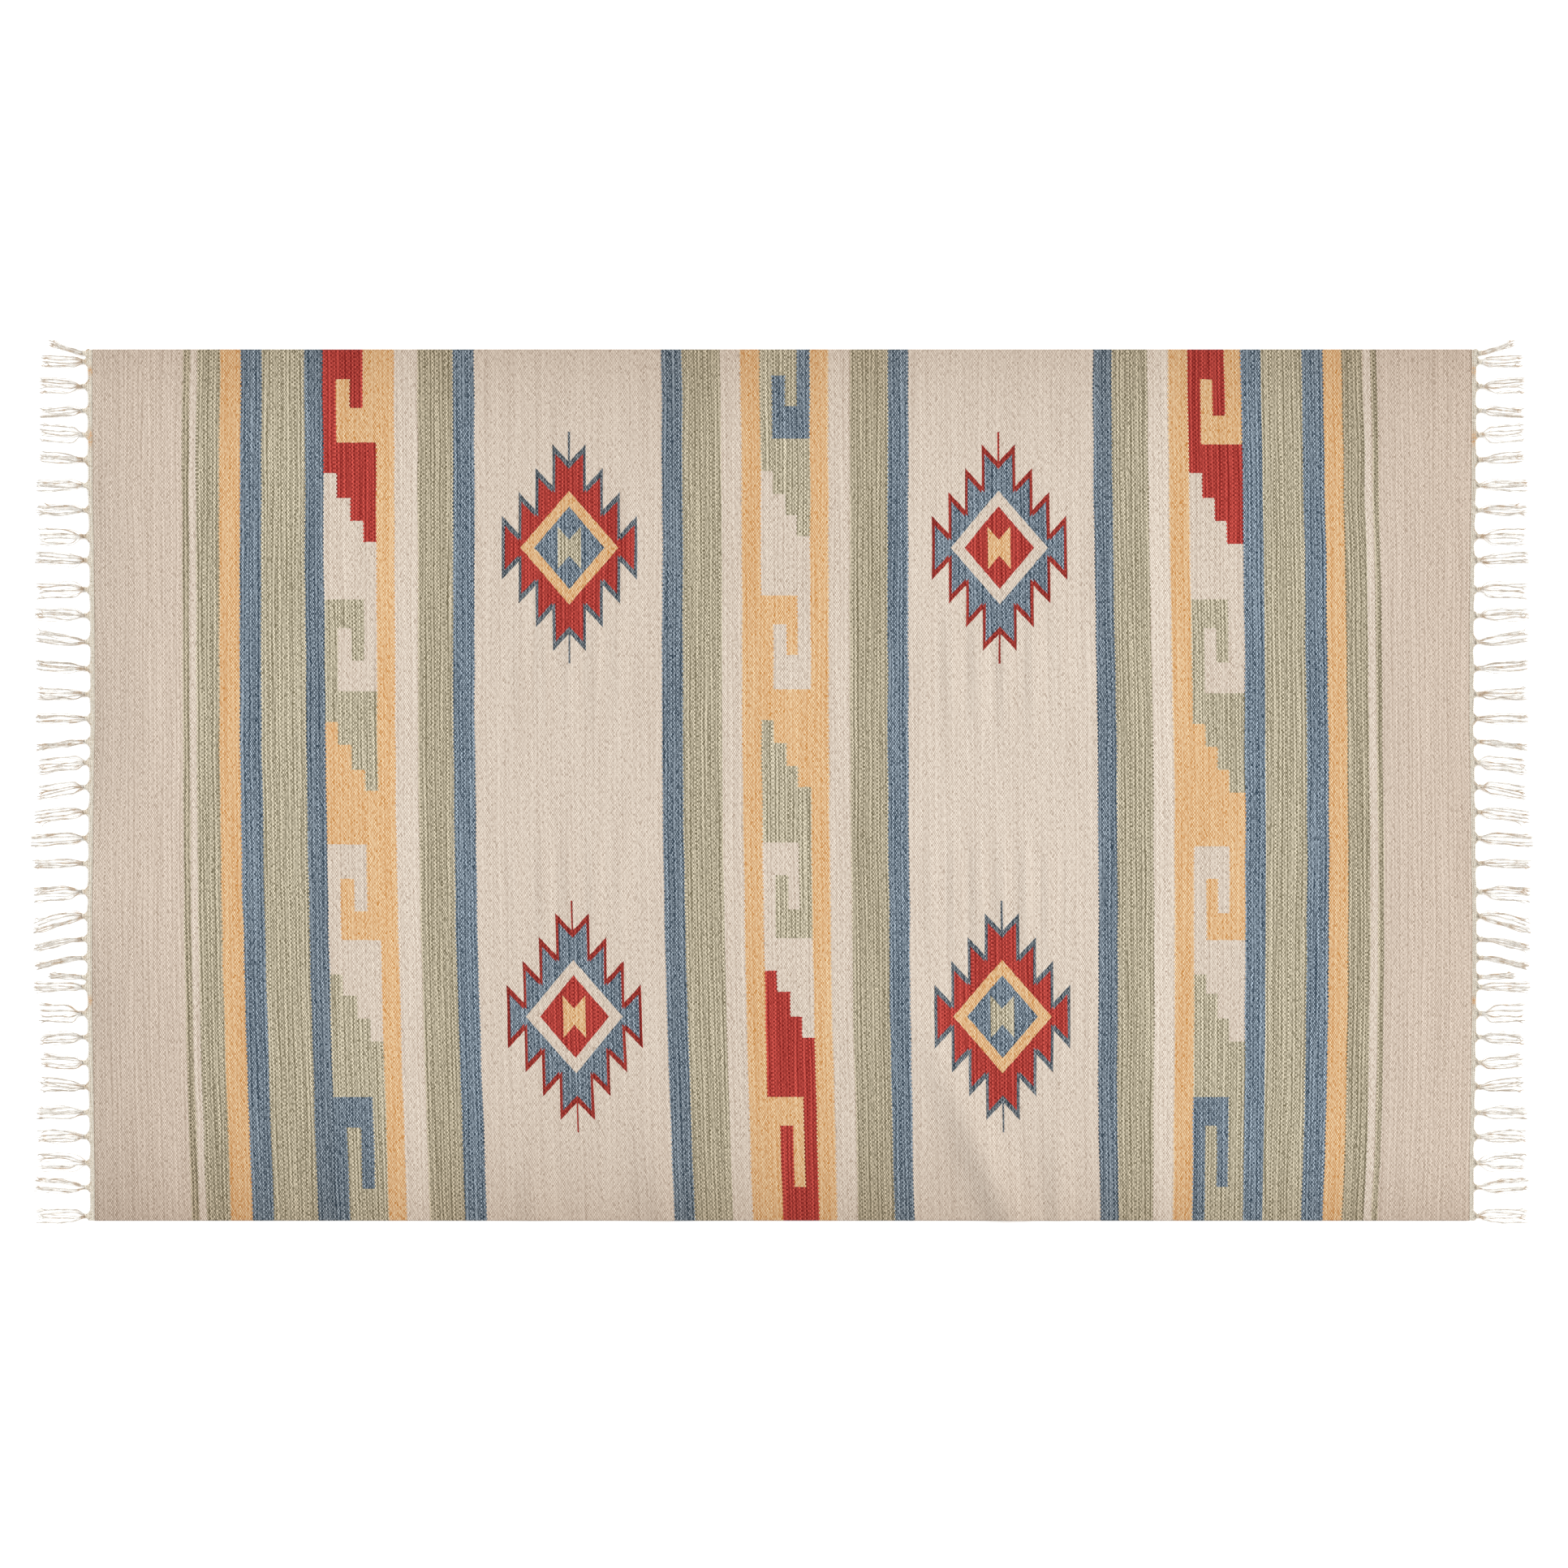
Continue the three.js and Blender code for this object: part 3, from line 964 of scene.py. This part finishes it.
def skin(points, turns, shade, stain, closed):
    # Quads from each ring of points to the next, and flat ends unless the last ring meets the
    # first. Returns points, faces, places on the yarn's map, and the faces' shades and stains.
    count, stations, sides = points.shape[:3]
    steps = stations if closed else stations - 1
    index = np.arange(count * stations * sides).reshape(count, stations, sides)
    ahead = np.roll(index, -1, axis=1)
    quads = np.stack([index, ahead, np.roll(ahead, -1, axis=2), np.roll(index, -1, axis=2)], -1)
    faces = [quads[:, :steps].reshape(-1, 4)]
    near, far = [np.broadcast_to(way[..., None], (count, steps, sides)) for way in turns]
    around = np.broadcast_to(np.arange(sides) / sides, near.shape)
    corners = [(around, near), (around, far), (around + 1 / sides, far), (around + 1 / sides, near)]
    places = [np.stack([np.stack(corner, -1) for corner in corners], -2).reshape(-1, 4, 2)]
    stain = np.broadcast_to(stain, (count, stations))
    between = (np.roll(stain, -1, axis=1) + stain)[:, :steps] / 2
    shades = [np.repeat(shade, steps * sides)]
    stains = [np.repeat(between.ravel(), sides)]
    if not closed:
        faces.append(np.concatenate([index[:, 0], index[:, -1, ::-1]]))
        places.append(np.zeros((2 * count, sides, 2)))
        shades.append(np.tile(shade, 2))
        stains.append(np.concatenate([stain[:, 0], stain[:, -1]]))
    return points.reshape(-1, 3), faces, places, shades, stains


def swept(paths, across, up, angle, reach, flat=1.0):
    # Round each point of a path: across * r cos(angle) + up * r sin(angle) * flat.
    points = paths[:, :, None] + across[:, :, None] * (reach * np.cos(angle))[..., None]
    return points + up[:, :, None] * (reach * np.sin(angle) * flat)[..., None]


def unit(vectors):
    return vectors / np.linalg.norm(vectors, axis=2, keepdims=True)


def tubes(paths, radii, form, shades=(0, 1), stains=0.0):
    # A yarn along each path, whose radius swells by lobe * cos(2 angle - 2 twist).
    sides, turn, lobe, flat = form
    side = unit(np.cross(unit(np.gradient(paths, axis=1)), (0, 0, 1.0)))
    up = np.cross(side, unit(np.gradient(paths, axis=1)))
    lengths = np.linalg.norm(np.diff(paths, axis=1), axis=2)
    twist = np.pad(np.cumsum(lengths, axis=1), ((0, 0), (1, 0))) / turn
    angle = np.arange(sides) * 2 * np.pi / sides
    reach = radii[:, :, None] * (1 + lobe * np.cos(2 * angle - 4 * np.pi * twist[:, :, None]))
    count, stations = paths.shape[:2]
    low, high = shades
    chances = np.random.default_rng(count * (stations - 1) * sides).random(count)
    points = swept(paths, side, up, angle, reach, flat)
    return skin(points, (twist[:, :-1], twist[:, 1:]), low + (high - low) * chances, stains, False)


def ringTubes(paths, radius, sides, stain):
    # A closed tube along each ring, whose first point looks outwards from the ring's middle.
    out = unit(paths - paths.mean(axis=1, keepdims=True))
    along = unit(np.roll(paths, -1, axis=1) - np.roll(paths, 1, axis=1))
    angle = np.arange(sides) * 2 * np.pi / sides
    points = swept(paths, out, np.cross(along, out), angle, np.full(sides, radius))
    way = np.arange(paths.shape[1] + 1) / paths.shape[1]
    return skin(points, (way[:-1], way[1:]), np.full(len(paths), 0.5), stain, True)


def joinTubes(name, parts, mirror):
    # Puts several sets of tubes in one piece; the left end is the right one mirrored in X.
    points = np.concatenate([part[0] for part in parts])
    starts = np.cumsum([0] + [len(part[0]) for part in parts])
    faces = [face + start for part, start in zip(parts, starts) for face in part[1]]
    places, shades, stains = [[row for part in parts for row in part[number]] for number in (2, 3, 4)]
    points[:, 2] = np.maximum(points[:, 2], fringe["lowest"])
    dyed = sum(np.exp(-(((points[:, 1] - v) / reach) ** 2)) for v, reach in fringe["dyedPlaces"])
    fadeStart, fadeReach = fringe["dyedFade"]
    dyed = dyed * np.exp(-np.maximum(points[:, 0] - fadeStart, 0) / fadeReach)
    tints = np.concatenate([dyed[face].mean(axis=1) for face in faces])
    points = points * mm
    points[:, 1] += middleY
    if mirror:
        points[:, 0] *= -1
        faces = [face[:, ::-1] for face in faces]
        places = [place[:, ::-1] for place in places]
    piece = makePiece(name, points, faces)
    addMap(piece, "lay", np.concatenate([place.reshape(-1, 2) for place in places]))
    looks = np.stack([np.concatenate(shades), tints, np.concatenate(stains)], -1)
    addVectors(piece, "yarnLook", "FACE", looks)
    return piece


def endAt(v):
    return halfLength + wanderAt(v)


def either(rng, reach, shape):
    return rng.uniform(-reach, reach, shape)


def bandCords(f):
    # Cords laid side by side along the cloth's end, twisted by turns to the left and right. The
    # nearest knot draws them out by pull * exp(-distance / reach).
    half = halfWidth - cloth["selvedgeIn"]
    v = np.linspace(half, -half, int(2 * half / f["cordStep"]))
    always, gain = f["uneven"]
    pull = f["pull"] * np.exp(-np.abs(v[:, None] - knotV.ravel()).min(axis=1) / f["pullReach"]) + always
    pull = pull + gain * sum(np.sin(v / length + phase) for length, phase in f["unevenWaves"])
    sides, turn, lobe, flat = f["cordForm"]
    parts = []
    for number in range(f["cords"]):
        x = endAt(v) + f["cordRadius"] + number * f["cordPitch"] + pull * number / (f["cords"] - 1)
        radii = np.full((1, len(v)), f["cordRadius"])
        radii[:, [0, -1]] *= f["cordTip"]
        path = np.stack([x, v, np.full_like(v, f["cordRise"])], -1)[None]
        parts.append(tubes(path, radii, (sides, turn * (-1) ** number, lobe, flat)))
    # The warp ends lie flat under the cords.
    v = v[::f["underEvery"]]
    out, rise = f["underPlace"]
    path = np.stack([endAt(v) + out, v, np.full_like(v, rise)], -1)[None]
    return parts + [tubes(path, np.full((1, len(v)), f["underHalf"]), f["underForm"])]


def webYarns(f, rng):
    # Warp ends that gather from the band into each knot, bending in: offset * (1 - t) ** bend.
    count = f["websPerTassel"]
    beside = np.linspace(-1, 1, count)[:, None]
    together, alone = f["webStray"]
    offset = beside * f["webReach"] * rng.uniform(*f["spread"], knots)
    offset = offset + either(rng, together, knots) + either(rng, alone, (len(knotV), count, 1))
    t = np.linspace(0, 1, f["webStations"])
    bendOut, bendIn = f["webBends"]
    x = endAt(knotV) + f["webStart"] + (f["knotOut"] - f["webStart"]) * t ** bendOut
    bend = (1 - t) ** bendIn * (1 - f["webKnot"]) + f["webKnot"]
    v = np.clip(knotV + offset * bend, *f["sides"])
    rise, higher, gain = f["webRise"]
    z = rise + (np.arange(count) % 2)[:, None] * (higher + gain * t)
    paths = np.stack(np.broadcast_arrays(x, v, z), -1).reshape(-1, len(t), 3)
    stains = beside ** 2 * np.ones(v.shape) * rng.uniform(*f["webStain"], knots)
    radii = np.full(paths.shape[:2], f["webRadius"])
    return [tubes(paths, radii, f["webForm"], stains=stains.reshape(-1, len(t)))]


def knotRings(f, rng):
    # Two tilted rings side by side: centre + R (cos, sin) round the yarns, tilted either way.
    parts = []
    phi = np.linspace(0, 2 * np.pi, f["knotPoints"] + 1)[:-1]
    low, high = f["sides"]
    for sign in (-1, 1):
        ring = f["knotRing"] * rng.uniform(*f["spread"], knots)
        tilt = np.radians(f["knotTilt"]) * sign + either(rng, f["knotSway"], knots)
        x = endAt(knotV) + f["knotOut"] + sign * f["knotApart"] + ring * np.cos(phi) * np.sin(tilt)
        v = knotV + ring * np.cos(phi) * np.cos(tilt)
        v = np.clip(v, low + f["knotGap"], high - f["knotGap"])
        z = f["knotRise"] + ring * f["knotFlat"] * np.sin(phi)
        path = np.concatenate([x, v, z], 1).transpose(0, 2, 1)
        parts.append(ringTubes(path, f["knotTube"], f["knotSides"], f["knotStain"]))
    return parts


def waves(rng, shape, t, size, turns):
    # A slow wave of its own for each yarn: size * sin(2 pi (turns * t + phase)).
    height = rng.uniform(*size, shape)
    return height * np.sin(2 * np.pi * (rng.uniform(*turns, shape) * t + rng.random(shape)))


def onWay(t, start, reach):
    # From 0 at the start to 1 after the reach.
    return np.clip((t - start) / reach, 0, 1)


def stainAt(t, depth, reach, left):
    return depth * np.exp(-((t / reach) ** 2)) + left


def sideways(s, t, place, neck, part, width):
    # v along a strand: knot + lean t ** bend + place * width, where the width goes from the
    # neck's to the fan's by 1 - (1 - way) ** 2.
    apart = 1 - (1 - onWay(t, neck, part)) ** 2
    width = fan * apart + width * (1 - apart)
    return knotV + lean * t ** s["leanBend"] + place * width


def strandPaths(t, v, short, level):
    # Straight out from the knot: start + (tip - short - start) * t.
    start = endAt(knotV) + fringe["tasselOut"]
    x = start + (tipX - short - start) * t
    return np.stack(np.broadcast_arrays(x, v, level), -1).reshape(-1, len(t), 3)


def bundlePaths(s, rng):
    # The yarns of a bundle share its place and its slow wave, and each winds about it. They cross
    # in low humps, size * abs(wave) * (1 - t / 2), and come down to the floor by (1 - t) ** 4.
    t = np.linspace(0, 1, s["stations"])
    each = (len(knotV), s["bundles"], 1)
    count = s["bundles"] * s["yarnsPerBundle"]
    shape = (len(knotV), count, 1)
    half, chanced = s["places"]
    place = np.linspace(-half, half, s["bundles"])[:, None] + either(rng, chanced, each)
    neck = rng.uniform(*s["neckShare"], knots) * rng.uniform(*s["neckUneven"], each)
    v = sideways(s, t, place, neck, rng.uniform(*s["partShare"], each), s["neckWidth"])
    v = v + waves(rng, each, t, *s["bundleWave"]) * onWay(t, 0, s["settled"])
    v = np.repeat(v, s["yarnsPerBundle"], axis=1)
    stray = s["stray"] * rng.random(shape) ** 3 * t
    v = v + waves(rng, shape, t, *s["yarnWave"]) + stray * np.sign(either(rng, 1, shape))
    tangled = np.repeat(rng.random(each) < s["tangled"], s["yarnsPerBundle"], axis=1)
    v = v + tangled * waves(rng, shape, t, *s["tangleWave"]) * onWay(t, *s["tangleAt"])
    curl = (rng.random(shape) < s["curled"]) * rng.uniform(*s["curl"], shape) * onWay(t, *s["curlAt"]) ** 2
    v = v + np.sign(either(rng, 1, shape)) * curl
    most, share = s["short"]
    short = rng.uniform(0, 1, shape) ** 2 * most + curl * share
    level = (np.arange(count) % s["levels"])[:, None]
    rest, knot, more = s["rise"]
    hump, humpMore = s["hump"]
    z = rest + (knot + more * level) * (1 - t) ** 4
    z = z + (hump + humpMore * level) * np.abs(waves(rng, shape, t, *s["humpWave"])) * (1 - t / 2)
    stains = np.repeat(rng.random(each) ** 2 * s["tan"], s["yarnsPerBundle"], axis=1)
    stains = stains + rng.random(shape) * stainAt(t, *s["knotStain"])
    depth, more = s["tipStain"]
    stains = stains + rng.random(shape) * onWay(t, *s["tipStainAt"]) * (depth + more * tangled)
    return strandPaths(t, v, short, z), stains.reshape(-1, len(t))


def threadPaths(s, rng):
    # Single threads anywhere in the fan, each on a slow wave of its own.
    t = np.linspace(0, 1, s["stations"])
    shape = (len(knotV), s["threads"], 1)
    half, chanced = s["threadPlaces"]
    place = np.linspace(-half, half, s["threads"])[:, None] + either(rng, chanced, shape)
    neck = rng.uniform(*s["threadNeck"], shape)
    v = sideways(s, t, place, neck, rng.uniform(*s["threadPart"], shape), s["threadNeckWidth"])
    v = v + waves(rng, shape, t, *s["threadWave"]) * onWay(t, 0, s["settled"])
    rest, knot, hump = s["threadRise"]
    z = rest + knot * (1 - t) ** 4 + hump * np.abs(waves(rng, shape, t, *s["threadHump"]))
    return strandPaths(t, v, rng.uniform(*s["threadShort"], shape), z)


def looseFibres(s, yarns, rng):
    # Fibres leave the yarns anywhere along them: straight on, turning aside as they go.
    count = len(yarns) // len(knotV)
    own = np.repeat(np.arange(len(knotV)), s["fibres"])
    each = (len(own), 1)
    yarn = own * count + rng.integers(0, count, len(own))
    base = yarns[yarn, rng.integers(2, s["stations"] - 1, len(own))]
    t = np.linspace(0, 1, s["fibreStations"])
    length = rng.uniform(*s["fibreLength"], each)
    length = np.minimum(length, tipX[own, 0] - base[:, :1] + s["fibrePast"])
    straight, bending = s["fibreAside"]
    aside = rng.normal(0, straight, each)
    x = base[:, :1] + length * t * (1 - s["fibreShort"] * np.abs(aside))
    v = base[:, 1:2] + length * (aside * t + rng.normal(0, bending, each) * t * t)
    z = base[:, 2:] * (1 - t) + s["fibreRise"] * t
    root, tip = s["fibreRadius"]
    radii = (root + (tip - root) * t) * np.ones(x.shape)
    return tubes(np.stack([x, v, z], -1), radii, s["fibreForm"], s["fibreShades"])


def tasselYarns(s, rng):
    yarns, stains = bundlePaths(s, rng)
    threads = threadPaths(s, rng)
    threadStains = stainAt(np.linspace(0, 1, s["stations"]), *s["threadStain"])
    parts = []
    for paths, kind, stain in ((yarns, "yarn", stains), (threads, "thread", threadStains)):
        radii = rng.uniform(*s[kind + "Radius"], (len(paths), 1)) * np.ones(paths.shape[:2])
        radii[:, -2:] *= s["tips"]
        parts.append(tubes(paths, radii, s["form"], s[kind + "Shades"], stain))
    return parts + [looseFibres(s, yarns, rng)]


# Both yarns: how much the ply (painted shade in the grooves between the plies), each yarn's own
# shade, its dashes and a fine cloud weigh. Stains and caught dye grow this fast over a noise's
# floor, up to the last number.
bandYarn = {
    "name": "bandYarn",
    "roughness": 0.9,
    "specular": 0.2,
    "sheen": 0.1,
    "sheenSpread": 0.5,
    "light": (0.93, 0.88, 0.78, 1),
    "dark": (0.56, 0.47, 0.34, 1),
    "brown": (0.56, 0.40, 0.25, 1),
    "dyed": (0.78, 0.42, 0.14, 1),
    "base": 0.72,
    "ply": 0.26,
    "own": 0.35,
    "dash": 0.0,
    "cloud": 1.5,
    "stain": 0.8,
    "cloudScale": 260.0,
    "dashPlaces": (57.0, 0.6),
    "stainScale": 75.0,
    "stainGrowth": (4.0, 0.42, 0.85),
    "dyedGrowth": (2.4, 0.7, 0.9),
    "bumpHeight": 0.3 * mm,
    "bumpStrength": 0.6,
}
tasselYarn = {
    **bandYarn,
    "name": "tasselYarn",
    "light": (0.96, 0.935, 0.88, 1),
    "dark": (0.46, 0.375, 0.28, 1),
    "base": 0.70,
    "ply": 0.08,
    "own": 0.5,
    "dash": 1.8,
    "cloud": 0.6,
    "stain": 1.6,
    "bumpStrength": 0.25,
}


def makeYarnMaterial(look):
    # Two-ply yarn: a groove wherever cos(4 pi (around - turns)) is low, on the map along the yarn;
    # the groove is bumped in and darkened in colour as painted shade.
    material, tree, shader = newMaterial(look["name"], look)
    around, turns = addNode(tree, "UVMap", {}, uv_map="lay").split()[:2]
    ply = ((around - turns) * (4 * math.pi)).math("COSINE")
    own, dyed, stained = attribute(tree, "yarnLook")
    place = addNode(tree, "TexCoord", {}, "Object")
    cloud = noise(place, look["cloudScale"], 2.0)
    ownRate, turnRate = look["dashPlaces"]
    dash = noise(place2d(own * ownRate, turns * turnRate), 1.0, 1.0)
    # The ply term is painted shade in the grooves.
    shade = ply * look["ply"] + (own - 0.5) * look["own"] + (cloud - 0.5) * look["cloud"]
    shade = shade + (dash - 0.5) * look["dash"] + look["base"]
    colour = blendColours(look["dark"], look["light"], shade.within(0.0, 1.0))
    growth, floor, most = look["stainGrowth"]
    patch = (noise(place, look["stainScale"], 2.0) - floor) * growth
    brown = (stained * patch * look["stain"]).within(0.0, most)
    colour = blendColours(colour, look["brown"], brown)
    growth, floor, most = look["dyedGrowth"]
    tinted = (dyed * (cloud * growth - floor)).within(0.0, most)
    colour = blendColours(colour, look["dyed"], tinted)
    feed(shader, {"Base Color": colour})
    bump(shader, ply, look)
    return material


bandMaterial = makeYarnMaterial(bandYarn)
tasselMaterial = makeYarnMaterial(tasselYarn)
for node, side, mirror in (("fringe_right", "Right", False), ("fringe_left", "Left", True)):
    rng = np.random.default_rng(fringe["seed"])
    parts = bandCords(fringe) + webYarns(fringe, rng) + knotRings(fringe, rng)
    band = joinTubes("twinedBand" + side, parts, mirror)
    strands = joinTubes("tassels" + side, tasselYarns(tassel, rng), mirror)
    for piece, material in ((band, bandMaterial), (strands, tasselMaterial)):
        piece.data.materials.append(material)
        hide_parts(node)
        print(piece.name, len(piece.data.polygons), "faces")
